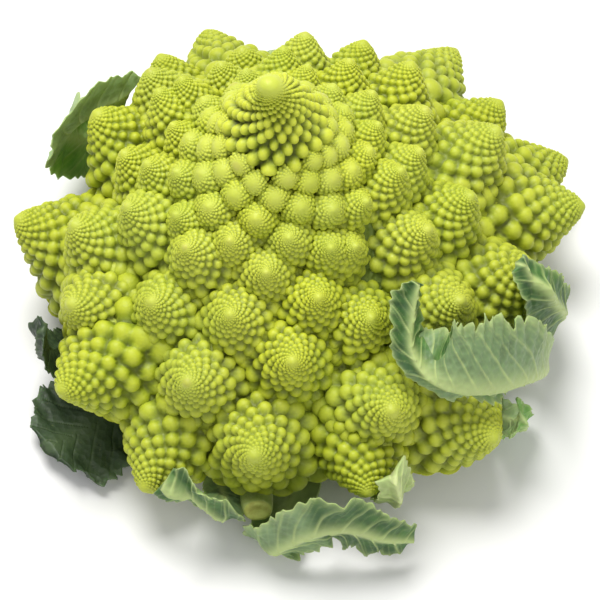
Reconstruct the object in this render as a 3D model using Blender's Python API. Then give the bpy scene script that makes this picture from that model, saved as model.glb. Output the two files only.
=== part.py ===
"""A Romanesco head: one curd of conical florets set on golden-angle spirals, on a cut stalk, with
its trimmed wrapper leaves. Metres, +Z up. The origin is the centre of the stalk's cut face, which
the head rests on. -Y is the front."""

import math

import bmesh
import bpy
import numpy as np
from mathutils import Vector
from mathutils.bvhtree import BVHTree

# The curd's outline, from its apex down and out to its rim
APEX_HEIGHT = 0.1314  # above the cut face
AXIS_X = 0.0070  # where the untilted axis stands
OUTLINE_RUN = 0.165  # measured along the outline
SLOPES = (  # mm of run from the apex, and degrees below the horizontal there
    (0, 20), (3, 48), (7, 65), (22, 67), (30, 63), (40, 54), (52, 37), (66, 30), (84, 32),
    (104, 36), (126, 52), (150, 86), (165, 95),
)
AXIS_SHIFTS = ((0, -14, -2), (20, -11, 3), (50, -11, 1), (90, -8, 0), (150, 0, 0))  # mm: run, x, y
TILT = 0.027  # radians about Y

# The spiral of florets, counted from the rim
GOLDEN_ANGLE = math.radians(137.508)
FIRST_ANGLE = 0.447
FIRST_RUN = 0.1673  # how far from the apex the law puts the first floret
LAST_RUN = 0.152  # and how far out one may stand
SPIRAL_PACE = 37.8  # florets on which the run shrinks by a factor e, at the rim
SPIRAL_SLOWING = 0.292
STEADY_FROM = 130  # the floret from which on the pace stays the same
FLORETS = 170
SPACING = 1.05  # a floret's width over the lattice's mean spacing
WIDEST = 0.032
STUNTED = (3, 4, 7)  # florets that leaves crowded out
OFF_SPIRAL_MM = {  # florets that grew away from their place on the spiral
    1: (-14, 4, 3), 6: (3, 4, 2), 8: (-1, 4, 3), 9: (-13, 7, 5), 10: (0, -8, -14), 11: (2, -8, -5),
    12: (-3, -5, -3), 13: (0, -2, -6), 14: (2, -3, -2), 15: (0, -3, -9), 18: (-2, -6, -4),
    19: (3, -4, -2), 20: (4, 1, 1), 21: (-1, 4, 3), 22: (4, -5, -3), 23: (0, -4, -10),
    25: (-2, -3, -2), 30: (4, -4, -3), 32: (-4, -2, -2), 33: (3, -2, -1), 36: (2, -3, -2),
    38: (-2, 3, 2), 41: (0, 3, 2), 43: (-2, 4, 3), 44: (5, 1, 1), 45: (-7, 0, 0), 49: (-7, 0, 0),
    50: (1, 3, 2),
}

# The faceted curd
CORE_HEIGHT = 0.058  # the point that the florets radiate from
VALLEY_DEPTH = 0.52  # between florets, as a share of their width
BODY_BLEND = 0.05  # how widely the body evens out its florets' reaches
FLORET_BLUNTNESS = 1.25
RING_POINTS = 6
RING_SHARE = 0.5
LOWEST_VALLEY = -0.55  # how far down a valley may lie, as a share of the way from the core
UNDERSIDE_HEIGHT = 0.036  # at the stalk
UNDERSIDE_SLOPE = 0.30  # how fast it drops towards the rim
UNDERSIDE_RINGS = ((12, 0.030), (18, 0.050), (22, 0.068))
APEX_WIDTH = 0.022  # of the bare cone above the last floret
APEX_DEPTH = 0.018

GAP = 0.0003  # kept between pieces that touch

# The stalk, a turned stump: radius and height of each point of its profile
STALK_PROFILE = ((0.0195, 0), (0.0208, 0.0015), (0.0214, 0.008), (0.0206, 0.018), (0.0210, 0.026))
STALK_TOP_SLOPE = 0.3115
STALK_SIDES = 40

# Leaves. Each route runs along the rib from the stalk outwards: x, y, z, and the blade's reach to the
# left and to the right of the rib, seen from outside with the tip up, all in millimetres. Lean is how
# far each side closes towards the curd, as a share of its reach.
LEAVES = {
    "leaf_front": dict(
        route=((3, -22.6, 9, 4, 4), (5, -45, 4.5, 6, 6), (3, -68, 4, 7, 7), (-3, -86, 4.5, 8, 9),
               (-6, -97, 11, 9, 9), (5, -97, 22, 12, 12), (17, -96, 25, 12, 13),
               (29, -97, 20, 8, 12), (38, -95, 15, 5, 8)),
        lean=(0.4, -0.35)),
    "leaf_front_left": dict(
        route=((-8.5, -21.2, 15, 3, 3), (-16, -40, 12, 4, 4), (-21, -62, 11, 4, 4),
               (-21, -82, 13, 4, 4), (-21, -90, 20, 4, 4), (-28, -88, 27, 4, 4),
               (-37, -83, 35, 3, 3)),
        lean=(0, 0)),
    "leaf_right": dict(
        route=((21, -9, 10, 5, 5), (45, -19, 5, 6, 6), (68, -27, 6, 6, 6), (79, -33, 15, 5, 6),
               (78, -44, 29, 3, 12), (71, -54, 42, 4, 20), (61, -61, 49, 4, 25),
               (50, -64, 55, 5, 22), (41, -62, 59.5, 4, 17), (36, -55, 65, 6, 10),
               (36.5, -46, 70, 8, 8), (38, -38, 74, 5, 5)),
        lean=(0.1, 0.2)),
    "leaf_right_rear": dict(
        route=((22.6, 2, 12, 5, 5), (50, -2, 6, 6, 6), (76, -10, 8, 7, 7), (85, -18, 20, 8, 8),
               (83, -24, 36, 9, 9), (76, -26, 50, 8, 8), (71, -23, 60, 4, 4)),
        lean=(0, 0)),
    "leaf_right_low": dict(
        route=((17, -15, 6, 4, 4), (38, -29, 3, 5, 5), (58, -42, 3.2, 6, 6), (71, -52, 9, 6, 6),
               (72, -58, 22, 5, 5), (69, -60, 34, 4, 4)),
        lean=(0, 0)),
    "leaf_small": dict(
        route=((8.5, -21.2, 16, 3, 3), (17, -42, 12, 4, 4), (25, -62, 10, 4, 4),
               (30, -77, 12, 5, 5), (32, -83, 20, 6, 6), (32, -84, 30, 6, 6), (30, -81, 40, 5, 5)),
        lean=(0, 0)),
    "leaf_left_low": dict(
        route=((-18, -14.2, 9, 5, 5), (-38, -30, 4.5, 8, 8), (-56, -45, 3.5, 18, 14),
               (-69, -55, 4, 20, 20), (-77, -61, 8, 11, 13)),
        lean=(0, 0)),
    "leaf_left": dict(
        route=((-22.6, -3, 12, 5, 5), (-48, -13, 7.5, 7, 7), (-68, -26, 11, 8, 8),
               (-76, -34, 20, 9, 9), (-78, -37, 31, 9, 9), (-77, -36, 41, 5, 5)),
        lean=(0, 0)),
    "leaf_back_left": dict(
        route=((-15.5, 16.6, 12, 5, 5), (-38, 37, 6, 8, 8), (-60, 52, 9, 12, 12),
               (-73, 47, 22, 13, 13), (-74, 40, 36, 13, 13), (-66, 41, 46, 12, 12),
               (-55, 48, 46, 9, 9), (-49, 51, 44, 4, 4)),
        lean=(0, 0)),
    "leaf_back": dict(
        route=((-2, 22.8, 9, 5, 5), (-3, 46, 5, 8, 8), (-5, 67, 5, 12, 12), (-6, 79, 10, 14, 14),
               (-6, 82, 18, 8, 8)),
        lean=(0, 0)),
    "leaf_back_right": dict(
        route=((16, 16.2, 10, 5, 5), (34, 34, 5, 7, 7), (48, 47, 5.5, 11, 11), (56, 54, 11, 10, 10),
               (57, 54, 19, 5, 5)),
        lean=(0, 0)),
}
STUB_ROUTE = ((-6.5, -22.2, 6), (-9, -45, 7), (-10.5, -68, 9), (-10.5, -80, 13), (-10, -88, 19))
STUB_RADII = ((4.2, 3.4), (4.4, 3.5), (4.8, 3.6), (5.2, 3.8), (4.6, 3.6))
STUB_SIDES = 12
LEAF_STEPS = 18  # along a leaf
LEAF_SHARES = (-1, -0.62, -0.28, 0, 0.28, 0.62, 1)  # across it
BLADE_THICKNESS = 0.0016
RIB_THICKNESS = 0.0052
RIB_WIDTH = 0.30  # of the narrower side's share
CURD_CLEARANCE = 0.0022  # between a leaf and the florets it wraps
CLEARANCE_SPREAD = 0.10  # radians round a leaf's point within which florets are cleared


def outline():
    """Run, and the distance out and drop there, from the apex to under the rim."""
    run = np.linspace(0, OUTLINE_RUN, 700)
    slope = np.radians(np.interp(run * 1000, *zip(*SLOPES)))
    middle = 0.5 * (slope[1:] + slope[:-1])
    out = np.concatenate([[0], np.cumsum(np.cos(middle)) * run[1]])
    drop = np.concatenate([[0], np.cumsum(np.sin(middle)) * run[1]])
    return run, out, drop


def spiral_runs(n):
    """How far from the apex the florets numbered n stand, and how fast that shrinks per floret."""
    before = np.minimum(n, STEADY_FROM)
    pace = SPIRAL_PACE + SPIRAL_SLOWING * before
    rate = SPIRAL_PACE / pace**2
    return FIRST_RUN * np.exp(-before / pace - rate * (n - before)), rate


def floret_tips():
    """Places of the florets' tips and their widths."""
    run, out, drop = outline()
    grown = np.array([i for i in range(FLORETS) if i not in STUNTED])
    at, rate = spiral_runs(grown)
    radius = np.interp(at, run, out)
    width = np.minimum(SPACING * np.sqrt(2 * math.pi * radius * at * rate), WIDEST)
    at = np.minimum(at, LAST_RUN)
    angle = FIRST_ANGLE - GOLDEN_ANGLE * grown
    offsets = np.array([OFF_SPIRAL_MM.get(i, (0, 0, 0)) for i in grown]) / 1000
    return on_outline(angle, at, run, out, drop) + offsets, width


def on_outline(angle, at, run, out, drop):
    """Points of the outline surface in the head's own frame."""
    shift = [np.interp(at * 1000, *column) / 1000 for column in axis_columns()]
    radius = np.interp(at, run, out)
    x, y = radius * np.cos(angle) + shift[0], radius * np.sin(angle) + shift[1]
    z = -np.interp(at, run, drop)
    c, s = math.cos(TILT), math.sin(TILT)
    return np.stack([x * c + z * s + AXIS_X, y, z * c - x * s + APEX_HEIGHT], axis=-1)


def axis_columns():
    """The axis's sideways shifts as (runs, x shifts) and (runs, y shifts)."""
    runs, across, along = zip(*AXIS_SHIFTS)
    return (runs, across), (runs, along)


def unit(vectors):
    return vectors / np.linalg.norm(vectors, axis=-1, keepdims=True)


def convex_hull(directions):
    """A bmesh that joins the directions, as points of a unit sphere, into triangles."""
    mesh = bmesh.new()
    for direction in directions:
        mesh.verts.new(direction)
    bmesh.ops.convex_hull(mesh, input=mesh.verts)
    bmesh.ops.triangulate(mesh, faces=mesh.faces)
    mesh.verts.index_update()
    return mesh


def new_object(name, mesh, color, roughness):
    """Links a bmesh as a named object with its own material."""
    bmesh.ops.recalc_face_normals(mesh, faces=mesh.faces)
    data = bpy.data.meshes.new(name)
    mesh.to_mesh(data)
    mesh.free()
    data.shade_smooth()
    material = bpy.data.materials.new(name)
    material.use_nodes = True
    shader = material.node_tree.nodes["Principled BSDF"]
    shader.inputs["Base Color"].default_value = (*color, 1)
    shader.inputs["Roughness"].default_value = roughness
    shader.inputs["Metallic"].default_value = 0
    data.materials.append(material)
    piece = bpy.data.objects.new(name, data)
    bpy.context.scene.collection.objects.link(piece)
    return piece


def make_curd():
    """The whole head of florets, one closed body seen from one point inside it: each direction from
    there meets the surface once."""
    core = np.array([0, 0, CORE_HEIGHT])
    tips, width = floret_tips()
    apex = on_outline(np.zeros(1), np.zeros(1), *outline())
    tips, depth = np.vstack([tips, apex]), np.append(VALLEY_DEPTH * width, APEX_DEPTH)
    width = np.append(width, APEX_WIDTH)
    reach = np.linalg.norm(tips - core, axis=1)
    toward = (tips - core) / reach[:, None]
    half_angle = np.arctan(0.5 * width / reach)

    def radius(directions):
        """Distance from the core to the surface: a smooth body with a blunt cone at each floret."""
        angle = np.arccos(np.clip(directions @ toward.T, -1, 1)) / half_angle
        weight = 1 / (BODY_BLEND + angle**4)
        body = (weight * (reach - depth)).sum(axis=1) / weight.sum(axis=1)
        cone = depth * np.maximum(1 - angle**FLORET_BLUNTNESS, 0)
        flat, down = np.hypot(directions[:, 0], directions[:, 1]), -directions[:, 2]
        facing = down - UNDERSIDE_SLOPE * flat
        under = (CORE_HEIGHT - UNDERSIDE_HEIGHT) / np.maximum(facing, 1e-6)
        return np.minimum(body + cone.max(axis=1), under)

    directions = [toward]
    side = unit(np.cross(toward, [0.3, 0.5, 0.8]))
    other = np.cross(toward, side)
    for k in range(RING_POINTS):
        turn = 2 * math.pi * k / RING_POINTS
        lean = np.tan(half_angle * RING_SHARE)[:, None]
        directions.append(unit(toward + lean * (side * math.cos(turn) + other * math.sin(turn))))
    valleys = convex_hull(toward)
    centres = unit(np.array([face.calc_center_median() for face in valleys.faces]))
    valleys.free()
    directions.append(centres[centres[:, 2] > LOWEST_VALLEY])
    for count, out in UNDERSIDE_RINGS:
        turn = 2 * math.pi * np.arange(count) / count
        down = np.full(count, UNDERSIDE_HEIGHT - UNDERSIDE_SLOPE * out - CORE_HEIGHT)
        directions.append(unit(np.stack([out * np.cos(turn), out * np.sin(turn), down], axis=1)))
    directions.append(np.array([[0, 0, -1.0]]))
    mesh = convex_hull(np.vstack(directions))
    aims = np.array([vertex.co for vertex in mesh.verts])
    for vertex, aim, distance in zip(mesh.verts, aims, radius(unit(aims))):
        vertex.co = Vector(core + aim * distance)
    return new_object("curd", mesh, (0.50, 0.58, 0.11), 0.55)


def make_stalk():
    """A turned stump with a flat cut face below and a top that follows the curd's underside."""
    mesh = bmesh.new()
    rim = STALK_PROFILE[-1][0]
    top = UNDERSIDE_HEIGHT - GAP
    profile = [(0, 0), *STALK_PROFILE, (rim, top - STALK_TOP_SLOPE * rim), (0, top)]
    points = [mesh.verts.new((radius, 0, height)) for radius, height in profile]
    edges = [mesh.edges.new(pair) for pair in zip(points, points[1:])]
    bmesh.ops.spin(mesh, geom=points + edges, cent=(0, 0, 0), axis=(0, 0, 1),
                   angle=2 * math.pi, steps=STALK_SIDES, use_merge=True)
    bmesh.ops.remove_doubles(mesh, verts=mesh.verts, dist=1e-6)
    return new_object("stalk", mesh, (0.62, 0.68, 0.36), 0.6)


def smooth_route(points, steps):
    """Points spread evenly along a smooth curve through the route's own points."""
    points = np.array(points, float)
    padded = np.vstack([2 * points[0] - points[1], points, 2 * points[-1] - points[-2]])
    spans = len(points) - 1
    result = []
    for along in np.linspace(0, spans, steps):
        i = min(int(along), spans - 1)
        t = along - i
        a, b, c, d = padded[i:i + 4]
        result.append(0.5 * (2 * b + (c - a) * t + (2 * a - 5 * b + 4 * c - d) * t * t
                             + (3 * b - a - 3 * c + d) * t**3))
    return np.array(result)


def clear_distance(tree, core, direction):
    """How far from the core a leaf's point has to be to clear the florets round it."""
    side = direction.orthogonal().normalized()
    other = direction.cross(side)
    furthest = 0
    for lean in (0, 0.5 * CLEARANCE_SPREAD, CLEARANCE_SPREAD):
        for k in range(8):
            turn = math.pi * k / 4
            aim = direction + lean * (side * math.cos(turn) + other * math.sin(turn))
            hit = tree.ray_cast(core, aim.normalized())
            if hit[0] is not None:
                furthest = max(furthest, hit[3])
    return furthest


def make_leaf(name, route, lean, tree):
    """A closed sheet that wraps the curd: thick along its rib, thin at its edges."""
    core = Vector((0, 0, CORE_HEIGHT))
    steps = smooth_route(route, LEAF_STEPS) / 1000
    places, reaches = steps[:, :3], np.maximum(steps[:, 3:], 0.001)
    mesh = bmesh.new()
    rows = []
    for i, place in enumerate(places):
        tangent = Vector(places[min(i + 1, LEAF_STEPS - 1)] - places[max(i - 1, 0)]).normalized()
        away = Vector(place) - core
        across = tangent.cross(away).normalized()
        row = []
        for share in LEAF_SHARES:
            reach = reaches[i][0] if share < 0 else reaches[i][1]
            closing = lean[0] if share < 0 else lean[1]
            aim = (away + across * share * reach).normalized()
            rib = math.exp(-(share / RIB_WIDTH) ** 2)
            half = 0.5 * (BLADE_THICKNESS + (RIB_THICKNESS - BLADE_THICKNESS) * rib)
            distance = away.length - closing * abs(share) * reach
            distance = max(distance, clear_distance(tree, core, aim) + CURD_CLEARANCE + half)
            outside = core + aim * (distance + half)
            outside.z = max(outside.z, 0)
            row.append((mesh.verts.new(outside), mesh.verts.new(core + aim * (distance - half))))
        rows.append(row)
    for row, following in zip(rows, rows[1:]):
        for left, right, far_left, far_right in zip(row, row[1:], following, following[1:]):
            mesh.faces.new((left[0], right[0], far_right[0], far_left[0]))
            mesh.faces.new((left[1], far_left[1], far_right[1], right[1]))
        for edge in (0, -1):
            mesh.faces.new((row[edge][0], following[edge][0], following[edge][1], row[edge][1]))
    for row in (rows[0], rows[-1]):
        for left, right in zip(row, row[1:]):
            mesh.faces.new((left[0], left[1], right[1], right[0]))
    bmesh.ops.triangulate(mesh, faces=mesh.faces)
    return new_object(name, mesh, (0.16, 0.30, 0.10), 0.5)


def make_stub():
    """The stump of a leaf that was cut off, round-edged, ending in front of the curd."""
    places = smooth_route(STUB_ROUTE, LEAF_STEPS) / 1000
    radii = smooth_route(STUB_RADII, LEAF_STEPS) / 1000
    mesh = bmesh.new()
    rings = []
    for i, (place, (wide, high)) in enumerate(zip(places, radii)):
        tangent = Vector(places[min(i + 1, LEAF_STEPS - 1)] - places[max(i - 1, 0)]).normalized()
        across = tangent.cross(Vector((0, 0, 1))).normalized()
        up = across.cross(tangent)
        ring = []
        for k in range(STUB_SIDES):
            turn = 2 * math.pi * k / STUB_SIDES
            point = Vector(place) + across * wide * math.cos(turn) + up * high * math.sin(turn)
            ring.append(mesh.verts.new(point))
        rings.append(ring)
    for ring, following in zip(rings, rings[1:]):
        for k in range(STUB_SIDES):
            after = (k + 1) % STUB_SIDES
            mesh.faces.new((ring[k], ring[after], following[after], following[k]))
    mesh.faces.new(rings[0])
    mesh.faces.new(rings[-1])
    bmesh.ops.triangulate(mesh, faces=mesh.faces)
    return new_object("petiole_stub", mesh, (0.55, 0.60, 0.20), 0.5)


def clear_scene():
    for piece in list(bpy.data.objects):
        bpy.data.objects.remove(piece)


clear_scene()
curd = make_curd()
make_stalk()
make_stub()
florets = BVHTree.FromObject(curd, bpy.context.evaluated_depsgraph_get())
for leaf_name, shape in LEAVES.items():
    make_leaf(leaf_name, shape["route"], shape["lean"], florets)
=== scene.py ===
"""The looks of a Romanesco head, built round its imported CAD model. Metres, +Z up, -Y is the front."""

import math

import bpy
import numpy as np
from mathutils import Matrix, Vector


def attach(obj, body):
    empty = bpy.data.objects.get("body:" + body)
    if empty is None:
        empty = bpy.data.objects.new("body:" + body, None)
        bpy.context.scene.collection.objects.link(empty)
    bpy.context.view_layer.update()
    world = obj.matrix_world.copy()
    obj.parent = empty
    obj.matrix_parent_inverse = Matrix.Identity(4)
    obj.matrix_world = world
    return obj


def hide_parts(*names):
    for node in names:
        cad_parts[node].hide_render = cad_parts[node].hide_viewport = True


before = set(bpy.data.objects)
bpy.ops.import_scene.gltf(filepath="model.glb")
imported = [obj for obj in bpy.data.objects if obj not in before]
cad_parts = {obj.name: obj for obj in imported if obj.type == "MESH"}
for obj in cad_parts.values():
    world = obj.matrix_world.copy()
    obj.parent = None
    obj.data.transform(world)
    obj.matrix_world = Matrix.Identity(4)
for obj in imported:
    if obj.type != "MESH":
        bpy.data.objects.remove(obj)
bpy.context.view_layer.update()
rng = np.random.default_rng(7)

# The head's outline and spiral, as in the CAD model but for the slimmer spire
APEX_HEIGHT = 0.1314
AXIS_X = 0.0070
SLOPES = ((0, 20), (3, 48), (7, 65), (22, 67), (30, 63), (40, 54), (52, 37), (66, 30), (84, 32),
          (104, 36), (126, 52), (150, 86), (165, 95))
AXIS_SHIFTS = ((0, -14, -2), (20, -11, 3), (50, -11, 1), (90, -8, 0), (150, 0, 0))
TILT = 0.027
SPIRE_SLIMMING, SPIRE_SINKING = 0.0012, 0.0018  # of the buds' sheet round the apex
GOLDEN_ANGLE = math.radians(137.508)
FIRST_ANGLE = 0.447
FIRST_RUN = 0.1673
LAST_RUN = 0.152
SPIRAL_PACE = 37.8
SPIRAL_SLOWING = 0.292
STEADY_FROM = 130
SPACING = 1.05
WIDEST = 0.032
FLORETS = 102  # with a surface of their own; the smaller ones are buds of the crown
STUNTED = (3, 4, 7)
OFF_SPIRAL_MM = {
    1: (-14, 4, 3), 6: (3, 4, 2), 8: (-1, 4, 3), 9: (-13, 7, 5), 10: (0, -8, -14), 11: (2, -8, -5),
    12: (-3, -5, -3), 13: (0, -2, -6), 14: (2, -3, -2), 15: (0, -3, -9), 18: (-2, -6, -4),
    19: (3, -4, -2), 20: (4, 1, 1), 21: (-1, 4, 3), 22: (4, -5, -3), 23: (0, -4, -10),
    25: (-2, -3, -2), 30: (4, -4, -3), 32: (-4, -2, -2), 33: (3, -2, -1), 36: (2, -3, -2),
    38: (-2, 3, 2), 41: (0, 3, 2), 43: (-2, 4, 3), 44: (5, 1, 1), 45: (-7, 0, 0), 49: (-7, 0, 0),
    50: (1, 3, 2),
}

UNDERSIDE_HEIGHT, UNDERSIDE_SLOPE, UNDERSIDE_EDGE = 0.036, 0.30, 0.0165
CORE = np.array([0, 0, 0.058])  # the point that the leaves wrap round

# The leaves' routes: x, y, z and the reach of the blade to either side, in mm. They are the CAD
# model's, but for leaf_front_left, whose blade is wider here.
LEAVES = {
    "leaf_front": dict(
        route=((3, -22.6, 9, 4, 4), (5, -45, 4.5, 6, 6), (3, -68, 4, 7, 7), (-3, -86, 4.5, 8, 9),
               (-6, -97, 11, 9, 9), (5, -97, 22, 12, 12), (17, -96, 25, 12, 13),
               (29, -97, 20, 8, 12), (38, -95, 15, 5, 8)),
        lean=(0.4, -0.35)),
    "leaf_front_left": dict(
        route=((-8.5, -21.2, 15, 3, 3), (-16, -40, 12, 4, 4), (-21, -62, 11, 4, 4),
               (-21, -82, 13, 6, 6), (-21, -90, 20, 7, 7), (-28, -88, 27, 7, 8),
               (-37, -83, 35, 4, 5)),
        lean=(0, 0)),
    "leaf_right": dict(
        route=((21, -9, 10, 5, 5), (45, -19, 5, 6, 6), (68, -27, 6, 6, 6), (79, -33, 15, 5, 6),
               (78, -44, 29, 3, 12), (71, -54, 42, 4, 20), (61, -61, 49, 4, 25),
               (50, -64, 55, 5, 22), (41, -62, 59.5, 4, 17), (36, -55, 65, 6, 10),
               (36.5, -46, 70, 8, 8), (38, -38, 74, 5, 5)),
        lean=(0.1, 0.2)),
    "leaf_right_rear": dict(
        route=((22.6, 2, 12, 5, 5), (50, -2, 6, 6, 6), (76, -10, 8, 7, 7), (85, -18, 20, 8, 8),
               (83, -24, 36, 9, 9), (76, -26, 50, 8, 8), (71, -23, 60, 4, 4)),
        lean=(0, 0)),
    "leaf_right_low": dict(
        route=((17, -15, 6, 4, 4), (38, -29, 3, 5, 5), (58, -42, 3.2, 6, 6), (71, -52, 9, 6, 6),
               (72, -58, 22, 5, 5), (69, -60, 34, 4, 4)),
        lean=(0, 0)),
    "leaf_small": dict(
        route=((8.5, -21.2, 16, 3, 3), (17, -42, 12, 4, 4), (25, -62, 10, 4, 4),
               (30, -77, 12, 5, 5), (32, -83, 20, 6, 6), (32, -84, 30, 6, 6), (30, -81, 40, 5, 5)),
        lean=(0, 0)),
    "leaf_left_low": dict(
        route=((-18, -14.2, 9, 5, 5), (-38, -30, 4.5, 8, 8), (-56, -45, 3.5, 18, 14),
               (-69, -55, 4, 20, 20), (-77, -61, 8, 11, 13)),
        lean=(0, 0)),
    "leaf_left": dict(
        route=((-22.6, -3, 12, 5, 5), (-48, -13, 7.5, 7, 7), (-68, -26, 11, 8, 8),
               (-76, -34, 20, 9, 9), (-78, -37, 31, 9, 9), (-77, -36, 41, 5, 5)),
        lean=(0, 0)),
    "leaf_back_left": dict(
        route=((-15.5, 16.6, 12, 5, 5), (-38, 37, 6, 8, 8), (-60, 52, 9, 12, 12),
               (-73, 47, 22, 13, 13), (-74, 40, 36, 13, 13), (-66, 41, 46, 12, 12),
               (-55, 48, 46, 9, 9), (-49, 51, 44, 4, 4)),
        lean=(0, 0)),
    "leaf_back": dict(
        route=((-2, 22.8, 9, 5, 5), (-3, 46, 5, 8, 8), (-5, 67, 5, 12, 12), (-6, 79, 10, 14, 14),
               (-6, 82, 18, 8, 8)),
        lean=(0, 0)),
    "leaf_back_right": dict(
        route=((16, 16.2, 10, 5, 5), (34, 34, 5, 7, 7), (48, 47, 5.5, 11, 11), (56, 54, 11, 10, 10),
               (57, 54, 19, 5, 5)),
        lean=(0, 0)),
}
STUB_ROUTE = ((-6.5, -22.2, 6), (-9, -45, 7), (-10.5, -68, 9), (-10.5, -80, 13), (-10, -88, 19))
STUB_RADII = ((4.2, 3.4), (4.4, 3.5), (4.8, 3.6), (5.2, 3.8), (4.6, 3.6))
STALK_PROFILE = ((0.0195, 0), (0.0208, 0.0015), (0.0214, 0.008), (0.0206, 0.018), (0.0205, 0.029))

# Each bud's cell on a spiral lattice is spanned by the steps to the 8th and the 13th bud after it
STEP_A, STEP_B = 8, 13
TURN_A = STEP_A * GOLDEN_ANGLE - 3 * 2 * math.pi
TURN_B = STEP_B * GOLDEN_ANGLE - 5 * 2 * math.pi
LARGE_BUD = 0.007  # across; from this size up, the creases get their full painted shade
DOME_HEIGHT, DOME_REACH = 0.58, 0.52  # shares of the buds' spacing
CROWN_TALLNESS = 1.35  # of the buds round the apex, over the others
NEAR_BUDS = (0, 1, -1, 2, -2, 3, -3, 5, -5, 8, -8, 13, -13, 21, -21, 34, -34)


def smoothstep(x, low, high):
    t = np.clip((x - low) / (high - low), 0, 1)
    return t * t * (3 - 2 * t)


def integrate(slope, run):
    """Distance out and drop along a curve that falls at these slopes, at even steps of its run."""
    step = run / (len(slope) - 1)
    middle = 0.5 * (slope[1:] + slope[:-1])
    out = np.concatenate([[0], np.cumsum(np.cos(middle)) * step])
    drop = np.concatenate([[0], np.cumsum(np.sin(middle)) * step])
    return out, drop


HEAD_RUN = np.linspace(0, 0.165, 700)
HEAD_SLOPE = np.radians(np.interp(HEAD_RUN * 1000, *zip(*SLOPES)))
HEAD_OUT, HEAD_DROP = integrate(HEAD_SLOPE, HEAD_RUN[-1])


def head_point(angle, run):
    """Points of the head's outline surface, and the unit normals there."""
    out, drop, slope = (np.interp(run, HEAD_RUN, v) for v in (HEAD_OUT, HEAD_DROP, HEAD_SLOPE))
    out = out - SPIRE_SLIMMING * smoothstep(run, 0.004, 0.014) * (1 - smoothstep(run, 0.018, 0.036))
    drop = drop + SPIRE_SINKING * (1 - smoothstep(run, 0.004, 0.020))
    runs, across, along = zip(*AXIS_SHIFTS)
    cos, sin = np.cos(angle), np.sin(angle)
    points = np.stack([out * cos + np.interp(run * 1000, runs, across) / 1000,
                       out * sin + np.interp(run * 1000, runs, along) / 1000, -drop], axis=-1)
    normals = np.stack([np.sin(slope) * cos, np.sin(slope) * sin, np.cos(slope)], axis=-1)
    c, s = math.cos(TILT), math.sin(TILT)
    turn = np.array([[c, 0, s], [0, 1, 0], [-s, 0, c]])
    return points @ turn.T + [AXIS_X, 0, APEX_HEIGHT], normals @ turn.T


def spiral_runs(n):
    """How far from the apex the buds numbered n stand, and how fast that shrinks per bud."""
    before = np.minimum(n, STEADY_FROM)
    pace = SPIRAL_PACE + SPIRAL_SLOWING * before
    rate = SPIRAL_PACE / pace**2
    return FIRST_RUN * np.exp(-before / pace - rate * (n - before)), rate


def spiral_width(run, rate):
    return SPACING * np.sqrt(2 * math.pi * np.interp(run, HEAD_RUN, HEAD_OUT) * run * rate)


def lattice(first, last, k):
    """A sheet of spiral cells cut k by k: for each vertex its bud, and its place (a, b) in the bud's
    cell from -1/2 to 1/2; and the quads, with their corners' places for a texture."""
    count = last - first
    bud = np.repeat(np.arange(first, last), k * k)
    p = np.tile(np.repeat(np.arange(k), k), count)
    q = np.tile(np.tile(np.arange(k), k), count)
    quads, corners = [], []
    for dp, dq in ((0, 0), (1, 0), (1, 1), (0, 1)):
        pp, qq = p + dp, q + dq
        owner = bud + STEP_A * (pp == k) + STEP_B * (qq == k)
        index = (owner - first) * k * k + (pp % k) * k + qq % k
        quads.append(np.where(owner < last, index, -1))
        corners.append(np.stack([pp / k, qq / k], axis=1))
    quads, corners = np.stack(quads, axis=1), np.stack(corners, axis=1)
    whole = (quads >= 0).all(axis=1)
    return bud, p / k - 0.5, q / k - 0.5, quads[whole], corners[whole], bud[whole]


def dome(gap):
    """Height of a bud at a distance from its middle, both as shares of the buds' spacing."""
    return DOME_HEIGHT * np.sqrt(np.maximum(1 - (gap / DOME_REACH) ** 2, 0.0))


class Pieces:
    """Collects surfaces into one mesh with its colours and texture places."""

    def __init__(self):
        self.points, self.faces, self.colors, self.places, self.count = [], [], [], [], 0

    def add(self, points, faces, colors, places):
        self.points.append(points)
        self.faces.append(faces + self.count)
        self.colors.append(colors)
        self.places.append(places)
        self.count += len(points)

    def build(self, name, material):
        return new_piece(name, np.vstack(self.points), np.vstack(self.faces), material,
                         np.vstack(self.colors), np.vstack(self.places))


def new_piece(name, points, faces, material, colors=None, places=None):
    """A smooth-shaded mesh object of triangles; faces holds rows of three."""
    mesh = bpy.data.meshes.new(name)
    mesh.vertices.add(len(points))
    mesh.vertices.foreach_set("co", points.astype(np.float32).ravel())
    mesh.loops.add(faces.size)
    mesh.loops.foreach_set("vertex_index", faces.astype(np.int32).ravel())
    mesh.polygons.add(len(faces))
    mesh.polygons.foreach_set("loop_start", np.arange(0, faces.size, 3, dtype=np.int32))
    mesh.update(calc_edges=True)
    mesh.polygons.foreach_set("use_smooth", np.ones(len(faces), bool))
    if colors is not None:
        attribute = mesh.color_attributes.new("Form", "FLOAT_COLOR", "POINT")
        attribute.data.foreach_set("color", colors.astype(np.float32).ravel())
    if places is not None:
        layer = mesh.uv_layers.new(name="OFBake")
        layer.data.foreach_set("uv", places.astype(np.float32).ravel())
    mesh.validate()
    mesh.materials.append(material)
    piece = bpy.data.objects.new(name, mesh)
    bpy.context.scene.collection.objects.link(piece)
    return piece


def outward(points, faces):
    """The faces, all turned over if their closed surface has them facing in."""
    a, b, c = (points[faces[:, i]] for i in range(3))
    volume = np.einsum("ij,ij->i", a, np.cross(b, c)).sum()
    return faces if volume > 0 else faces[:, ::-1]


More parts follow.
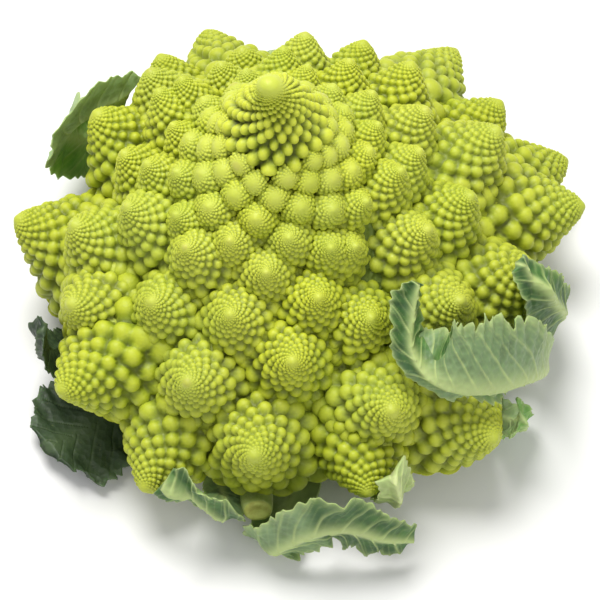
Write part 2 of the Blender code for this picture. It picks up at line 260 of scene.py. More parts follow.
def close_ends(faces, bud, first, last, tip, base):
    """Triangles that fan from the sheet's two ragged ends to a tip vertex and a base vertex."""
    edges = np.concatenate([faces[:, [0, 1]], faces[:, [1, 2]], faces[:, [2, 0]]])
    size = edges.max() + 2
    key, back = edges[:, 0] * size + edges[:, 1], edges[:, 1] * size + edges[:, 0]
    open_edges = edges[~np.isin(key, back)]
    middle = 0.5 * (first + last)
    near_tip = bud[open_edges[:, 0]] > middle
    centre = np.where(near_tip, tip, base)
    return np.stack([open_edges[:, 1], open_edges[:, 0], centre], axis=1)


def spiral_surface(first, last, k, run_at, place, spacing_at, fade_at, end_points, seed,
                   tall=1.0):
    """A closed surface of buds on a spiral lattice.

    run_at(nu) is the run from the tip of the nu-th bud; place(angle, run) gives points, normals and
    the distance out from the axis; fade_at(run) is how far the buds there stand out."""
    bud, a, b, quads, corners, quad_bud = lattice(first, last, k)
    nu = bud + STEP_A * a + STEP_B * b
    angle = bud * GOLDEN_ANGLE + a * TURN_A + b * TURN_B
    run = run_at(nu)
    points, normals, out = place(angle, run)
    local = np.random.default_rng(seed)
    span = last - first + 80
    shift = local.normal(0, 0.045, (2, span))
    grow = 1 + local.normal(0, 0.07, span)
    nearest = np.full(len(bud), 9.0)
    lift = np.ones(len(bud))
    spacing = spacing_at(nu)
    for offset in NEAR_BUDS:
        other = bud + offset
        index = other - first + 40
        turn = np.angle(np.exp(1j * (angle - other * GOLDEN_ANGLE)))
        dx = turn * out / spacing - shift[0][index]
        dy = (run - run_at(other)) / spacing - shift[1][index]
        gap = np.hypot(dx, dy) / grow[index]
        closer = gap < nearest
        nearest = np.where(closer, gap, nearest)
        lift = np.where(closer, grow[index], lift)
    height = dome(nearest) * lift
    fade = fade_at(run)
    points = points + normals * (tall * height * fade * spacing)[:, None]
    tip, base = len(points), len(points) + 1
    points = np.vstack([points, end_points])
    faces = np.concatenate([quads[:, [0, 1, 2]], quads[:, [0, 2, 3]]])
    cell = np.concatenate([quad_bud, quad_bud]) - first
    places = np.concatenate([corners[:, [0, 1, 2]], corners[:, [0, 2, 3]]])
    fans = close_ends(faces, bud, first, last, tip, base)
    rim = np.stack([0.5 + 0.45 * np.cos(angle), 0.5 + 0.45 * np.sin(angle)], axis=1)
    rim = np.vstack([rim, [[0.5, 0.5], [0.5, 0.5]]])
    fan_cell = last - first + (fans[:, 2] == base)
    faces, cell = np.vstack([faces, fans]), np.concatenate([cell, fan_cell])
    places = np.vstack([places, rim[fans]])
    # The curd's colour takes its painted shade in the creases from crest and size
    crest = np.append(height / DOME_HEIGHT * fade + (1 - fade), [1, 0])
    tipness = np.append(1 - fade, [1, 0])
    size = np.append(spacing, [0, 0]) / LARGE_BUD
    return points, faces, cell, places, crest, tipness, size


def chart(cell, places, charts, used):
    """Texture places with each cell in its own square of a charts by charts sheet."""
    corner = np.stack([(cell + used) % charts, (cell + used) // charts], axis=1)
    return ((corner[:, None, :] + 0.06 + 0.88 * places) / charts).reshape(-1, 2)


def frame_of(axis):
    """Two unit vectors square to the axis."""
    side = np.cross(axis, [0.31, 0.47, 0.83])
    side /= np.linalg.norm(side)
    return side, np.cross(axis, side)


def floret(tip, axis, width, k, seed, tone):
    """One conical floret: its surface's parts as spiral_surface gives them."""
    grown = float(smoothstep(width, 0.007, 0.017))
    cap = width * (0.36 - 0.27 * grown)
    run = width * (0.74 + 0.46 * grown)
    steps = np.linspace(0, 1.25 * run, 160)
    ball = np.minimum(steps / (0.5 * width), 1.5)
    gothic = 0.98 * (1 - np.exp(-steps / (0.04 * width))) + 0.08 * steps / width
    slope = (1 - grown) * ball + grown * gothic
    out, drop = integrate(slope, steps[-1])
    rate = 0.0160
    fast = 0.035
    end = 0.016 * width
    switch = math.log(run / (0.8 * cap)) / rate
    last = int(switch + math.log(0.8 * cap / end) / fast) + 11

    def run_at(nu):
        return np.where(nu < switch, run * np.exp(-rate * nu),
                        0.8 * cap * np.exp(-fast * np.maximum(nu - switch, 0)))

    side, other = frame_of(axis)
    phase = seed * 1.7

    def place(angle, s):
        r, h, f = (np.interp(s, steps, v) for v in (out, drop, slope))
        cos, sin = np.cos(angle + phase), np.sin(angle + phase)
        radial = cos[:, None] * side + sin[:, None] * other
        points = tip + r[:, None] * radial - h[:, None] * axis
        normals = np.sin(f)[:, None] * radial + np.cos(f)[:, None] * axis
        return points, normals, r

    def spacing_at(nu):
        s = run * np.exp(-rate * nu)
        return np.sqrt(2 * math.pi * np.interp(s, steps, out) * s * rate)

    def fade_at(s):
        return smoothstep(s, 0.30 * cap, 1.5 * cap)

    base = tip - axis * float(np.interp(1.2 * run, steps, drop))
    points, faces, cell, places, crest, tipness, size = spiral_surface(
        0, last, k, run_at, place, spacing_at, fade_at, np.array([tip, base]), seed)
    colors = np.stack([crest, tipness, np.full(len(crest), tone), size], axis=1)
    return points, outward(points - base, faces), cell, places, colors


# ---------------------------------------------------------------- materials


class Nodes:
    """Short ways to lay out a material's nodes."""

    def __init__(self, name):
        self.material = bpy.data.materials.new(name)
        self.material.use_nodes = True
        self.tree = self.material.node_tree
        self.shader = self.tree.nodes["Principled BSDF"]

    def node(self, kind, **inputs):
        made = self.tree.nodes.new(kind)
        for key, value in inputs.items():
            socket = made.inputs[int(key[1:]) if key[0] == "_" and key[1:].isdigit() else key]
            self.set(socket, value)
        return made

    def set(self, socket, value):
        if isinstance(value, bpy.types.NodeSocket):
            self.tree.links.new(value, socket)
        else:
            socket.default_value = value

    def attribute(self, name):
        made = self.tree.nodes.new("ShaderNodeAttribute")
        made.attribute_name = name
        return made

    def math(self, operation, a, b=0.0):
        made = self.tree.nodes.new("ShaderNodeMath")
        made.operation = operation
        self.set(made.inputs[0], a)
        self.set(made.inputs[1], b)
        return made.outputs[0]

    def ramp(self, factor, low, high, to_low=0.0, to_high=1.0):
        made = self.tree.nodes.new("ShaderNodeMapRange")
        made.interpolation_type = "SMOOTHSTEP"
        for name, value in (("Value", factor), ("From Min", low), ("From Max", high),
                            ("To Min", to_low), ("To Max", to_high)):
            self.set(made.inputs[name], value)
        return made.outputs["Result"]

    def mix(self, factor, a, b, blend="MIX"):
        made = self.tree.nodes.new("ShaderNodeMix")
        made.data_type = "RGBA"
        made.blend_type = blend
        self.set(made.inputs[0], factor)
        for socket, value in ((made.inputs[6], a), (made.inputs[7], b)):
            self.set(socket, value if isinstance(value, bpy.types.NodeSocket) else (*value, 1))
        return made.outputs[2]

    def noise(self, scale, detail=3.0, rough=0.5):
        made = self.tree.nodes.new("ShaderNodeTexNoise")
        coords = self.tree.nodes.new("ShaderNodeTexCoord")
        self.tree.links.new(coords.outputs["Object"], made.inputs["Vector"])
        made.inputs["Scale"].default_value = scale
        made.inputs["Detail"].default_value = detail
        made.inputs["Roughness"].default_value = rough
        return made.outputs["Fac"]

    def height(self):
        """The height above the cut face."""
        coords = self.tree.nodes.new("ShaderNodeTexCoord")
        split = self.node("ShaderNodeSeparateXYZ", Vector=coords.outputs["Object"])
        return split.outputs["Z"]

    def bumps(self, scale):
        made = self.tree.nodes.new("ShaderNodeTexVoronoi")
        coords = self.tree.nodes.new("ShaderNodeTexCoord")
        self.tree.links.new(coords.outputs["Object"], made.inputs["Vector"])
        made.feature = "SMOOTH_F1"
        made.inputs["Scale"].default_value = scale
        made.inputs["Smoothness"].default_value = 0.25
        return made.outputs["Distance"]

    def bump(self, height, distance, strength=1.0, normal=None):
        made = self.tree.nodes.new("ShaderNodeBump")
        self.set(made.inputs["Height"], height)
        self.set(made.inputs["Strength"], strength)
        made.inputs["Distance"].default_value = distance
        if normal is not None:
            self.set(made.inputs["Normal"], normal)
        return made.outputs["Normal"]

    def finish(self, color, roughness, normal=None, subsurface=0.0, radius=(1, 1, 0.4), scale=0.002,
               specular=0.4):
        self.set(self.shader.inputs["Base Color"], color)
        self.set(self.shader.inputs["Roughness"], roughness)
        if normal is not None:
            self.set(self.shader.inputs["Normal"], normal)
        self.shader.inputs["Subsurface Weight"].default_value = subsurface
        self.shader.inputs["Subsurface Radius"].default_value = radius
        self.shader.inputs["Subsurface Scale"].default_value = scale
        self.shader.inputs["Specular IOR Level"].default_value = specular
        return self.material


def curd_material():
    m = Nodes("romanesco_curd")
    form = m.attribute("Form")
    parts = m.node("ShaderNodeSeparateColor", Color=form.outputs["Color"])
    crest, tip, tone = (parts.outputs[i] for i in range(3))
    patches = m.noise(38, 3)
    fine = m.noise(900, 2)
    height = m.math("ADD", crest, m.math("MULTIPLY", m.math("SUBTRACT", fine, 0.5), 0.25))
    # Painted shade: the buds' flanks and the creases between them are coloured darker, and more so on
    # big buds
    shade_by_size = m.ramp(form.outputs["Alpha"], 0.12, 0.75)
    painted_crease_shade = m.mix(shade_by_size, (0.300, 0.350, 0.018), (0.045, 0.058, 0.001))
    painted_flank_shade = m.mix(shade_by_size, (0.42, 0.47, 0.03), (0.250, 0.300, 0.008))
    deep = m.mix(m.ramp(height, 0.10, 0.60), painted_crease_shade, painted_flank_shade)
    bud = m.mix(m.ramp(height, 0.45, 0.95), deep, (0.560, 0.605, 0.036))
    capped = m.mix(m.math("MULTIPLY", tip, 0.6), bud, (0.530, 0.580, 0.085))
    varied = m.mix(m.ramp(patches, 0.35, 0.75, 0.0, 0.35), capped, (0.33, 0.46, 0.040))
    toned = m.mix(m.ramp(tone, 0.0, 1.0, 0.0, 0.18), varied, (0.60, 0.66, 0.16))
    blush = m.math("MULTIPLY", m.ramp(tip, 0.8, 1.0), m.ramp(tone, 0.80, 0.98, 0.0, 0.28))
    tinged = m.mix(blush, toned, (0.46, 0.36, 0.12))
    spots = m.ramp(m.noise(160, 2), 0.74, 0.80, 0.0, 0.5)
    spotted = m.mix(m.math("MULTIPLY", spots, m.ramp(tip, 0.1, 0.5)), tinged, (0.30, 0.22, 0.06))
    # Painted shade: the head is coloured darker towards its bottom
    with_low_shade = m.mix(m.ramp(m.height(), 0.015, 0.115, 0.42, 0.0), spotted, (0.260, 0.320, 0.008))
    rough = m.ramp(fine, 0.2, 0.8, 0.42, 0.62)
    grain = m.bump(m.bumps(1500), 0.0002, 0.30)
    normal = m.bump(fine, 0.00012, 0.5, grain)
    return m.finish(with_low_shade, rough, normal, 0.22, (1.0, 0.9, 0.25), 0.0022)


def stem_material():
    m = Nodes("romanesco_stem")
    form = m.attribute("Form")
    parts = m.node("ShaderNodeSeparateColor", Color=form.outputs["Color"])
    cut, painted_shade = parts.outputs[0], parts.outputs[1]
    streaks = m.noise(120, 4, 0.6)
    fine = m.noise(1400, 2)
    green = m.mix(m.ramp(streaks, 0.3, 0.7), (0.30, 0.40, 0.085), (0.50, 0.57, 0.20))
    # Painted shade: the Form attribute's second channel darkens the skin
    shaded = m.mix(painted_shade, green, (0.13, 0.19, 0.03))
    skin = m.mix(m.ramp(fine, 0.3, 0.7, 0.0, 0.2), shaded, (0.66, 0.70, 0.40))
    rings = m.mix(m.ramp(m.noise(300, 3, 0.7), 0.35, 0.7), (0.48, 0.54, 0.13), (0.36, 0.36, 0.08))
    color = m.mix(cut, skin, rings)
    normal = m.bump(fine, 0.00015, 0.4, m.bump(streaks, 0.0008, 0.4))
    return m.finish(color, m.ramp(fine, 0.2, 0.8, 0.42, 0.62), normal, 0.15)


def leaf_material(name, upper, lighter, under, veins):
    """A leaf's look: dark waxy upper side, pale bloomed underside, pale veins and edge."""
    m = Nodes(name)
    form = m.attribute("Form")
    parts = m.node("ShaderNodeSeparateColor", Color=form.outputs["Color"])
    vein, edge, below = (parts.outputs[i] for i in range(3))
    patches = m.noise(70, 4, 0.6)
    fine = m.noise(800, 3)
    net = m.bumps(420)
    top = m.mix(m.ramp(patches, 0.35, 0.68), upper, lighter)
    top = m.mix(m.ramp(net, 0.0, 0.55, 0.35, 0.0), top, tuple(0.5 * v for v in upper))
    bloom = m.mix(m.ramp(patches, 0.3, 0.7), under, tuple(0.72 * v for v in under))
    bloom = m.mix(m.ramp(net, 0.3, 0.7, 0.0, 0.3), bloom, tuple(min(1.35 * v, 1) for v in under))
    skin = m.mix(below, top, bloom)
    veined = m.mix(m.math("MULTIPLY", vein, 0.85), skin, veins)
    edged = m.mix(m.math("MULTIPLY", edge, 0.6), veined, veins)
    color = m.mix(m.ramp(fine, 0.62, 0.78, 0.0, 0.25), edged, (0.30, 0.33, 0.12))
    normal = m.bump(fine, 0.00012, 0.4, m.bump(net, 0.0007, 0.55))
    return m.finish(color, m.ramp(fine, 0.2, 0.8, 0.40, 0.60), normal, 0.12, (0.5, 1.0, 0.2), 0.0015)


def inner_shade_material():
    m = Nodes("romanesco_inner_painted_shade")
    streaks = m.noise(90, 4, 0.6)
    # Painted shade: the body is coloured dark, as it is seen only in shade deep between the florets
    color = m.mix(m.ramp(streaks, 0.3, 0.7), (0.085, 0.125, 0.012), (0.20, 0.27, 0.04))
    return m.finish(color, 0.6, m.bump(m.bumps(420), 0.002, 0.7), 0.1)


def floor_material():
    m = Nodes("pale_floor")
    return m.finish((0.86, 0.86, 0.86, 1), m.ramp(m.noise(60, 2), 0.3, 0.7, 0.75, 0.85))


# ---------------------------------------------------------------- the curd

curd_look = curd_material()
stem_look = stem_material()
inner_shade_look = inner_shade_material()
green_leaf = leaf_material("leaf_green", (0.030, 0.090, 0.022), (0.075, 0.185, 0.035),
                           (0.180, 0.285, 0.120), (0.480, 0.580, 0.220))
# Painted shade: a copy of the green leaf about four times darker, veins too, for the leaves low at the
# left
shaded_leaf = leaf_material("leaf_painted_shade", (0.008, 0.022, 0.008), (0.018, 0.048, 0.014),
                          (0.040, 0.070, 0.030), (0.070, 0.110, 0.045))
bright_leaf = leaf_material("leaf_bright", (0.110, 0.300, 0.035), (0.220, 0.430, 0.060),
                            (0.300, 0.430, 0.190), (0.480, 0.590, 0.250))
pale_leaf = leaf_material("leaf_pale", (0.30, 0.42, 0.11), (0.42, 0.52, 0.18),
                          (0.400, 0.510, 0.180), (0.560, 0.630, 0.280))
# How far along each leaf its upper side turns outwards
TURNED = {"leaf_front": 0.75, "leaf_front_left": 0.1, "leaf_right": 0.83, "leaf_right_rear": 0.1,
          "leaf_left_low": 0.1, "leaf_left": 0.1, "leaf_right_low": 0.1, "leaf_back_left": 0.70}
LEAF_LOOKS = {"leaf_left_low": shaded_leaf, "leaf_left": shaded_leaf, "leaf_small": pale_leaf,
              "leaf_back_left": bright_leaf, "leaf_right_low": bright_leaf}

BATCH = 185000  # triangles in one piece


def publish(piece, slot, *nodes):
    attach(piece, "root")
    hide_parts(*nodes)
    return piece


def floret_places():
    """Number, tip, axis, width and tone of each floret, in the order they grew back from the rim."""
    found = []
    for n in range(FLORETS):
        if n in STUNTED:
            continue
        run, rate = (float(v) for v in spiral_runs(float(n)))
        width = min(float(spiral_width(run, rate)), WIDEST)
        point, normal = head_point(np.array(FIRST_ANGLE - GOLDEN_ANGLE * n),
                                   np.array(min(run, LAST_RUN)))
        tip = point + np.array(OFF_SPIRAL_MM.get(n, (0, 0, 0))) / 1000
        axis = normal + rng.normal(0, 0.05, 3)
        axis /= np.linalg.norm(axis)
        found.append((n, tip, axis, width * (1 + rng.normal(0, 0.03)), rng.random()))
    return found


def lift_underside(points):
    """Keeps a floret's foot above the hollow underside of the head."""
    out = np.hypot(points[:, 0], points[:, 1])
    lowest = np.maximum(UNDERSIDE_HEIGHT - UNDERSIDE_SLOPE * out, UNDERSIDE_EDGE)
    points[:, 2] = np.maximum(points[:, 2], lowest + 0.1 * (points[:, 2] - lowest).clip(-0.02, 0))


def build_florets(places):
    """Every floret with a surface of its own; gives all their points."""
    batch, made, used, grown = [], [], 0, []
    for n, tip, axis, width, tone in places:
        k = 6 if width > 0.019 else 5 if width > 0.011 else 4
        parts = floret(tip, axis, 1.12 * width, k, n + 11, tone)
        if used + len(parts[1]) > BATCH:
            made.append(batch)
            batch, used = [], 0
        lift_underside(parts[0])
        grown.append(parts[0])
        batch.append(parts)
        used += len(parts[1])
    made.append(batch)
    for number, batch in enumerate(made):
        cells = sum(parts[2].max() + 1 for parts in batch)
        charts = math.ceil(math.sqrt(cells))
        collected, first = Pieces(), 0
        for points, faces, cell, places_, colors in batch:
            collected.add(points, faces, colors, chart(cell, places_, charts, first))
            first += cell.max() + 1
        publish(collected.build(f"curd_florets_{number + 1}", curd_look), "curd", "curd")
    return np.vstack(grown)


def build_crown():
    """The small buds round the apex, which stand straight on the head's own surface."""
    first, last = 90, 470
    full, hidden = (float(spiral_runs(float(n))[0]) for n in (FLORETS + 1, FLORETS - 9))

    def run_at(nu):
        return spiral_runs(np.asarray(nu, float))[0]

    def spacing_at(nu):
        return spiral_width(*spiral_runs(np.asarray(nu, float)))

    def width_here(run):
        return spiral_width(run, spiral_runs(float(STEADY_FROM))[1])

    def fade_at(run):
        return smoothstep(run, 0.0030, 0.0110)

    def place(angle, run):
        points, normals = head_point(FIRST_ANGLE - angle, run)
        sink = CROWN_TALLNESS * DOME_HEIGHT * fade_at(run) + 1.1 * smoothstep(run, full, hidden)
        points = points - normals * (sink * width_here(run))[:, None]
        return points, normals, np.interp(run, HEAD_RUN, HEAD_OUT)

    apex, _ = head_point(np.array(0.0), np.array(0.0))
    base = apex - np.array([0, 0, 0.045])
    points, faces, cell, places, crest, tipness, size = spiral_surface(
        first, last, 7, run_at, place, spacing_at, fade_at, np.array([apex, base]), 5,
        CROWN_TALLNESS)
    colors = np.stack([crest, tipness, np.full(len(crest), 0.4), size], axis=1)
    charts = math.ceil(math.sqrt(cell.max() + 1))
    piece = new_piece("curd_crown", points, outward(points - base, faces), curd_look, colors,
                      chart(cell, places, charts, 0))
    return publish(piece, "curd", "curd")


def build_inner():
    """The body that the florets stand on, seen only deep between them."""
    turns, rings = 96, 40
    run = np.linspace(0.030, 0.162, rings)
    angle = np.linspace(0, 2 * math.pi, turns, endpoint=False)
    grid_angle, grid_run = (v.ravel() for v in np.meshgrid(angle, run))
    points, normals = head_point(grid_angle, grid_run)
    width = np.interp(grid_run, (0.030, 0.06, 0.105, 0.162), (0.005, 0.014, 0.030, 0.034))
    points = points - normals * (0.85 * width)[:, None]
    top = points[:turns].mean(axis=0)
    lift_underside(points)
    bottom = np.array([0, 0, UNDERSIDE_HEIGHT])
    points = np.vstack([points, [top, bottom]])
    faces = []
    ring = np.arange(turns)
    after = (ring + 1) % turns
    for row in range(rings - 1):
        a, b = row * turns + ring, row * turns + after
        c, d = a + turns, b + turns
        faces += [np.stack([a, c, d], 1), np.stack([a, d, b], 1)]
    faces.append(np.stack([np.full(turns, len(points) - 2), ring, after], 1))
    end = (rings - 1) * turns
    faces.append(np.stack([np.full(turns, len(points) - 1), end + after, end + ring], 1))
    faces = np.vstack(faces)
    return publish(new_piece("curd_inner", points, outward(points - top, faces), inner_shade_look),
                   "curd", "curd")


# ---------------------------------------------------------------- stems and leaves

TURNS, RISES = 240, 120  # directions from the core, 1.5 degrees apart
BLADE_THICKNESS, RIB_THICKNESS = 0.0013, 0.0052
LEAF_CLEARANCE = 0.0012  # between a leaf and the florets it wraps
STEMMED = 46  # the last floret from the rim whose stem shows from below


def reach_map(points):
    """How far the florets reach in each direction from the core, evened out."""
    rays = points - CORE
    distance = np.linalg.norm(rays, axis=1)
    turn, rise = (v.astype(int) for v in map_places(rays / distance[:, None]))
    found = np.zeros((TURNS, RISES))
    np.maximum.at(found, (turn % TURNS, rise.clip(0, RISES - 1)), distance)
    for blend in (np.maximum, np.maximum, np.add, np.add):
        for axis in (0, 1):
            sides = [np.roll(found, 1, axis), np.roll(found, -1, axis)]
            widened = blend(found, blend(*sides))
            found = widened / 3 if blend is np.add else widened
    return found


def map_places(rays):
    """Places of unit vectors on the map, in cells."""
    turn = (np.arctan2(rays[..., 1], rays[..., 0]) / (2 * math.pi) % 1) * TURNS
    return turn, (np.arcsin(rays[..., 2].clip(-1, 1)) / math.pi + 0.5) * RISES


def map_reach(found, rays):
    turn, rise = (v - 0.5 for v in map_places(rays))
    i, j = np.floor(turn).astype(int), np.floor(rise).astype(int).clip(0, RISES - 2)
    t, r = turn - i, (rise - j).clip(0, 1)
    near, far = found[i % TURNS], found[(i + 1) % TURNS]
    rows = (np.take_along_axis(v, (j + d)[..., None], -1)[..., 0] for v in (near, far)
            for d in (0, 1))
    a, b, c, d = rows
    return (a * (1 - r) + b * r) * (1 - t) + (c * (1 - r) + d * r) * t


def smooth_route(points, steps):
    """Points spread evenly along a smooth curve through the route's own points."""
    points = np.array(points, float)
    padded = np.vstack([2 * points[0] - points[1], points, 2 * points[-1] - points[-2]])
    spans = len(points) - 1
    along = np.linspace(0, spans, steps)
    i = np.minimum(along.astype(int), spans - 1)
    t = (along - i)[:, None]
    a, b, c, d = (padded[i + k] for k in range(4))
    return 0.5 * (2 * b + (c - a) * t + (2 * a - 5 * b + 4 * c - d) * t**2
                  + (3 * b - a - 3 * c + d) * t**3)


def unit(vectors):
    return vectors / np.linalg.norm(vectors, axis=-1, keepdims=True)


def wrap(top, bottom):
    """Faces of a closed sheet between two grids of points, the first seen from outside."""
    rows, columns = top.shape[:2]
    index = np.arange(rows * columns).reshape(rows, columns)
    under = index + rows * columns

    def strip(a, b, c, d):
        a, b, c, d = (v.ravel() for v in (a, b, c, d))
        return np.concatenate([np.stack([a, b, c], 1), np.stack([a, c, d], 1)])

    faces = [strip(index[:-1, :-1], index[:-1, 1:], index[1:, 1:], index[1:, :-1]),
             strip(under[:-1, :-1], under[1:, :-1], under[1:, 1:], under[:-1, 1:]),
             strip(index[:-1, 0], index[1:, 0], under[1:, 0], under[:-1, 0]),
             strip(index[:-1, -1], under[:-1, -1], under[1:, -1], index[1:, -1]),
             strip(index[0, :-1], under[0, :-1], under[0, 1:], index[0, 1:]),
             strip(index[-1, :-1], index[-1, 1:], under[-1, 1:], under[-1, :-1])]
    points = np.concatenate([top.reshape(-1, 3), bottom.reshape(-1, 3)])
    return points, np.concatenate(faces)


def waves(along, pitch, seed, count=3):
    """A wandering wave of about this pitch, from -1 to 1."""
    local = np.random.default_rng(seed)
    total = 0
    for k in range(count):
        total = total + np.sin(2 * math.pi * along / (pitch * local.uniform(0.7, 1.5))
                               + local.uniform(0, 2 * math.pi)) / count
    return total


def build_leaf(name, route, lean, look, turned, found, seed):
    """A ruffled, toothed blade on its stem; past the turned share its upper side faces out."""
    rows, columns = 320, 65
    steps = smooth_route(route, rows) / 1000
    places, reaches = steps[:, :3], np.maximum(steps[:, 3:], 0.001)
    tangents = unit(np.gradient(places, axis=0))
    away = places - CORE
    across = unit(np.cross(tangents, away))
    along = np.concatenate([[0], np.cumsum(np.linalg.norm(np.diff(places, axis=0), axis=1))])
    blade = smoothstep(along / along[-1], 0.42, 0.62)[:, None]
    share = np.linspace(-1, 1, columns)[None, :]
    side = (share > 0).astype(int)
    reach = np.where(side, reaches[:, 1:], reaches[:, :1])
    along = along[:, None] + 0.0 * share
    teeth = np.abs((along / 0.0027 + 0.35 * side + 0.3 * waves(along, 0.009, seed)) % 1 - 0.5) * 2
    lobes = 0.09 * waves(along, 0.015, seed + 2) + 0.06 * waves(along + 0.05 * side, 0.006, seed + 3)
    grow = 1 + blade * np.abs(share) ** 4 * (lobes + 0.12 * teeth - 0.02)
    spread = share * reach * grow
    closing = np.where(side, lean[1], lean[0])
    aim = away[:, None, :] + across[:, None, :] * spread[..., None]
    ruffle = blade * (np.abs(share) ** 1.6) * (0.0018 * waves(along + 0.03 * side, 0.014, seed + 5, 2)
                                               + 0.0008 * waves(along, 0.005, seed + 6, 2))
    rib = np.exp(-(share / 0.30) ** 2)
    slant = along - 0.85 * np.abs(spread)
    vein_place = np.abs((slant / 0.0072 + 0.4 * side + 0.18 * waves(slant, 0.02, seed + 7)) % 1 - 0.5)
    branch = np.exp(-(vein_place / 0.055) ** 2) * blade * (1 - 0.5 * share**2)
    fork_place = np.abs((slant / 0.0024 + 0.7 * np.abs(share)) % 1 - 0.5)
    fork = 0.35 * np.exp(-(fork_place / 0.09) ** 2) * blade * np.abs(share)
    edge_thin = 1 - 0.75 * blade * np.abs(share) ** 6
    half = 0.5 * (BLADE_THICKNESS + (RIB_THICKNESS - BLADE_THICKNESS) * rib) * edge_thin
    half = half * (1 - 0.25 * smoothstep(along / along[-1, :1], 0.75, 1.0))
    rays = unit(aim)
    distance = np.linalg.norm(away, axis=1)[:, None] - closing * np.abs(spread) + ruffle
    distance = np.maximum(distance, map_reach(found, rays) + LEAF_CLEARANCE + half)
    puff = 0.0004 * blade * (1 - rib) * (vein_place * 2) ** 0.5
    outer = CORE + rays * (distance + half + 0.0004 * (branch + fork) - puff)[..., None]
    inner = CORE + rays * (distance - half * 0.9 + 0.0003 * (branch + fork) - puff)[..., None]
    outer[..., 2] = np.maximum(outer[..., 2], 0.0002)
    inner[..., 2] = np.maximum(inner[..., 2], 0.0006)
    points, faces = wrap(outer, inner)
    midrib = np.exp(-(share / 0.21) ** 2) * (0.5 + 0.5 * blade) + (1 - blade) * 0.75
    vein = np.clip(midrib + 0.75 * branch + fork, 0, 1)
    edge = blade * np.abs(share) ** 10
    ones = np.ones_like(vein)
    length = along / along[-1, :1]
    below = 1 - smoothstep(length, turned - 0.02, turned + 0.02) if turned < 1 else ones
    colors = np.concatenate([np.stack([vein, edge * ones, facing, ones], -1).reshape(-1, 4)
                             for facing in (below, 1 - below)])
    piece = new_piece(name + "_blade", points, outward(points - points.mean(axis=0), faces), look,
                      colors)
    return publish(piece, "leaf", name)


def tube(route, radii, steps, sides, uneven, seed):
    """A grid of points round a smooth route."""
    places = smooth_route(route, steps)
    radii = smooth_route(radii, steps)
    tangents = unit(np.gradient(places, axis=0))
    across = unit(np.cross(tangents, [0.0, 0.0, 1.0]))
    up = np.cross(across, tangents)
    turn = np.linspace(0, 2 * math.pi, sides, endpoint=False)
    along = np.linspace(0, 1, steps)[:, None]
    rough = 1 + uneven * (waves(along * 3 + np.cos(turn), 1.4, seed)
                          + waves(np.sin(turn) * 2 + along, 0.8, seed + 1))
    ring = (across[:, None] * (radii[:, :1] * np.cos(turn) * rough)[..., None]
            + up[:, None] * (radii[:, 1:] * np.sin(turn) * rough)[..., None])
    return places[:, None] + ring


def close_tube(grid):
    """Points and faces of a tube with a fan at each end."""
    rows, sides = grid.shape[:2]
    index = np.arange(rows * sides).reshape(rows, sides)
    after = np.roll(index, -1, axis=1)
    a, b, c, d = index[:-1].ravel(), after[:-1].ravel(), after[1:].ravel(), index[1:].ravel()
    start, end = np.full(sides, rows * sides), np.full(sides, rows * sides + 1)
    faces = [np.stack([a, b, c], 1), np.stack([a, c, d], 1),
             np.stack([start, after[0], index[0]], 1), np.stack([end, index[-1], after[-1]], 1)]
    points = np.vstack([grid.reshape(-1, 3), grid[0].mean(axis=0), grid[-1].mean(axis=0)])
    return points, np.concatenate(faces)


def build_stub():
    """The stump of a cut-off leaf, with a rounded, scarred end."""
    route, radii = np.array(STUB_ROUTE) / 1000, np.array(STUB_RADII) / 1000
    grid = tube(route, radii, 60, 40, 0.03, 21)
    centre, last = grid[-1].mean(axis=0), grid[-1]
    forward = unit(centre - grid[-4].mean(axis=0))
    caps = []
    for shrink, ahead in ((0.97, 0.0006), (0.90, 0.0012), (0.78, 0.0016), (0.60, 0.0015),
                          (0.40, 0.0013), (0.20, 0.0010)):
        caps.append(centre + (last - centre) * shrink + forward * ahead)
    full = np.concatenate([grid, np.array(caps)])
    points, faces = close_tube(full)
    cut = np.zeros(full.shape[:2])
    cut[-5:] = 1
    cut = np.append(cut.ravel(), [0, 1])
    # Painted shade of 0.25 on the skin, none on the cut end
    colors = np.stack([cut, 0.25 * (1 - cut), np.zeros_like(cut), np.ones_like(cut)], axis=1)
    piece = new_piece("petiole_stub_skin", points, outward(points - centre, faces), stem_look, colors)
    return publish(piece, "petiole", "petiole_stub")


def build_stalk():
    """The stump under the head: ridged skin and the flat cut face."""
    sides = 120
    turn = np.linspace(0, 2 * math.pi, sides, endpoint=False)
    profile = smooth_route(np.array(STALK_PROFILE), 40)
    radius, height = profile[:, :1], profile[:, 1:]
    ridges = 0.0005 * waves(turn[None, :], 0.5, 31) + 0.0004 * waves(turn + 60 * height, 1.2, 33)
    fade = smoothstep(height, 0.0, 0.003)
    wide = radius + ridges * fade - 0.0006
    grid = np.stack([wide * np.cos(turn), wide * np.sin(turn), height + 0 * turn], axis=-1)
    floor = [np.stack([share * grid[0, :, 0], share * grid[0, :, 1], np.zeros(sides)], axis=-1)
             for share in (0.25, 0.5, 0.75, 0.93)]
    full = np.concatenate([np.array(floor), grid])
    points, faces = close_tube(full)
    cut = np.append((np.arange(len(full)) < 5).repeat(sides).astype(float), [1, 0])
    # Painted shade of 0.3 on the skin, none on the cut face
    colors = np.stack([cut, 0.3 * (1 - cut), np.zeros_like(cut), np.ones_like(cut)], axis=1)
    middle = np.array([0, 0, 0.015])
    piece = new_piece("stalk_stump", points, outward(points - middle, faces), stem_look, colors)
    return publish(piece, "stalk", "stalk")


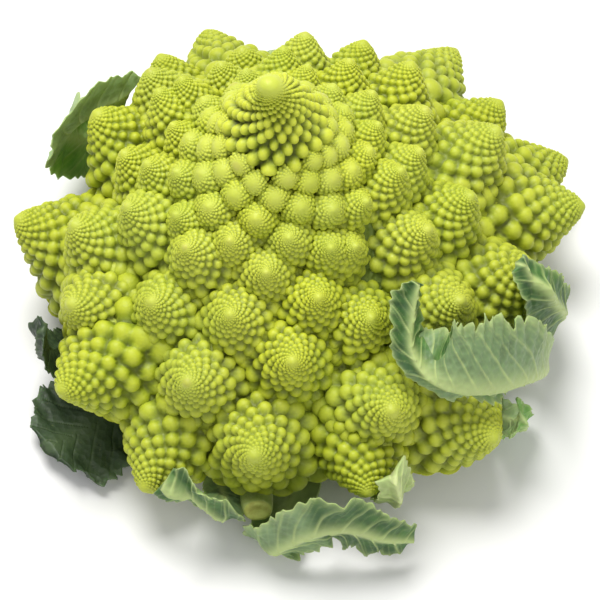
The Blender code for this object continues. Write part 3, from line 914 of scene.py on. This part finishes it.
def build_branches(places):
    """The short stems that carry the outer florets, seen from below and between the leaves."""
    collected = Pieces()
    for n, tip, axis, width, _ in places:
        if n > STEMMED:
            continue
        foot = tip - 1.05 * width * axis
        out = math.hypot(foot[0], foot[1])
        lowest = max(UNDERSIDE_HEIGHT - UNDERSIDE_SLOPE * out, UNDERSIDE_EDGE) + 0.003
        foot[2] = max(foot[2], lowest)
        flat = foot[:2] / out
        start = np.array([0.013 * flat[0], 0.013 * flat[1], 0.024])
        middle = 0.5 * (start + foot)
        middle[2] = max(0.5 * (start[2] + foot[2]) - 0.002, 0.020)
        thick = 0.24 * width
        grid = tube([start, middle, foot, foot + 0.35 * width * axis],
                    [(0.0045, 0.0045), (0.8 * thick, 0.8 * thick), (thick, thick),
                     (1.25 * thick, 1.25 * thick)], 22, 20, 0.06, 50 + n)
        points, faces = close_tube(grid)
        # Painted shade: each branch is darker towards the middle under the head
        painted_shade = np.append(np.linspace(0.9, 0.35, 22).repeat(20), [0.9, 0.35])
        colors = np.stack([0 * painted_shade, painted_shade, 0 * painted_shade, 0 * painted_shade + 1], axis=1)
        collected.add(points, outward(points - foot, faces), colors, np.zeros((faces.size, 2)))
    piece = new_piece("curd_branches", np.vstack(collected.points), np.vstack(collected.faces),
                      stem_look, np.vstack(collected.colors))
    return publish(piece, "curd", "curd")


florets = floret_places()
grown = build_florets(florets)
build_crown()
build_inner()
build_branches(florets)
build_stub()
build_stalk()
found_reach = reach_map(grown)
for leaf_number, (leaf_name, shape) in enumerate(LEAVES.items()):
    leaf_look = LEAF_LOOKS.get(leaf_name, green_leaf)
    build_leaf(leaf_name, shape["route"], shape["lean"], leaf_look, TURNED.get(leaf_name, 1.0),
               found_reach, 100 + 10 * leaf_number)

# ---------------------------------------------------------------- stage, light and camera


def area_light(name, place, target, size, power, color):
    data = bpy.data.lights.new(name, "AREA")
    data.shape, data.size, data.energy, data.color = "DISK", size, power, color
    lamp = bpy.data.objects.new(name, data)
    lamp.location = place
    lamp.rotation_euler = (Vector(target) - Vector(place)).to_track_quat("-Z", "Y").to_euler()
    bpy.context.scene.collection.objects.link(lamp)


def build_stage():
    half = 6.0
    points = np.array([[-half, -half, -0.0002], [half, -half, -0.0002], [half, half, -0.0002],
                       [-half, half, -0.0002]])
    floor = new_piece("floor", points, np.array([[0, 1, 2], [0, 2, 3]]), floor_material())
    world = bpy.data.worlds.new("studio")
    world.use_nodes = True
    background = world.node_tree.nodes["Background"]
    background.inputs["Color"].default_value = (1, 1, 1, 1)
    background.inputs["Strength"].default_value = 0.46
    bpy.context.scene.world = world
    area_light("key", (-0.20, 0.40, 1.3), (0, 0, 0.05), 0.8, 21, (1, 0.99, 0.96))
    area_light("fill", (0.5, -1.0, 0.9), (0, 0, 0.05), 1.2, 5, (1, 1, 1))


def build_camera():
    reference = Vector((0.0066, 0, 0.118))
    elevation = 0.9937
    back = Vector((0, -math.cos(elevation), math.sin(elevation)))
    aim = Vector((0.0029, -0.0507, 0.0850))
    data = bpy.data.cameras.new("camera")
    data.sensor_width = 36
    data.lens = 222
    data.clip_start, data.clip_end = 0.05, 20
    camera = bpy.data.objects.new("camera", data)
    camera.location = reference + 1.111 * back
    camera.rotation_euler = (aim - camera.location).to_track_quat("-Z", "Y").to_euler()
    bpy.context.scene.collection.objects.link(camera)
    bpy.context.scene.camera = camera


build_stage()
build_camera()

bpy.context.scene.view_settings.view_transform = "Standard"
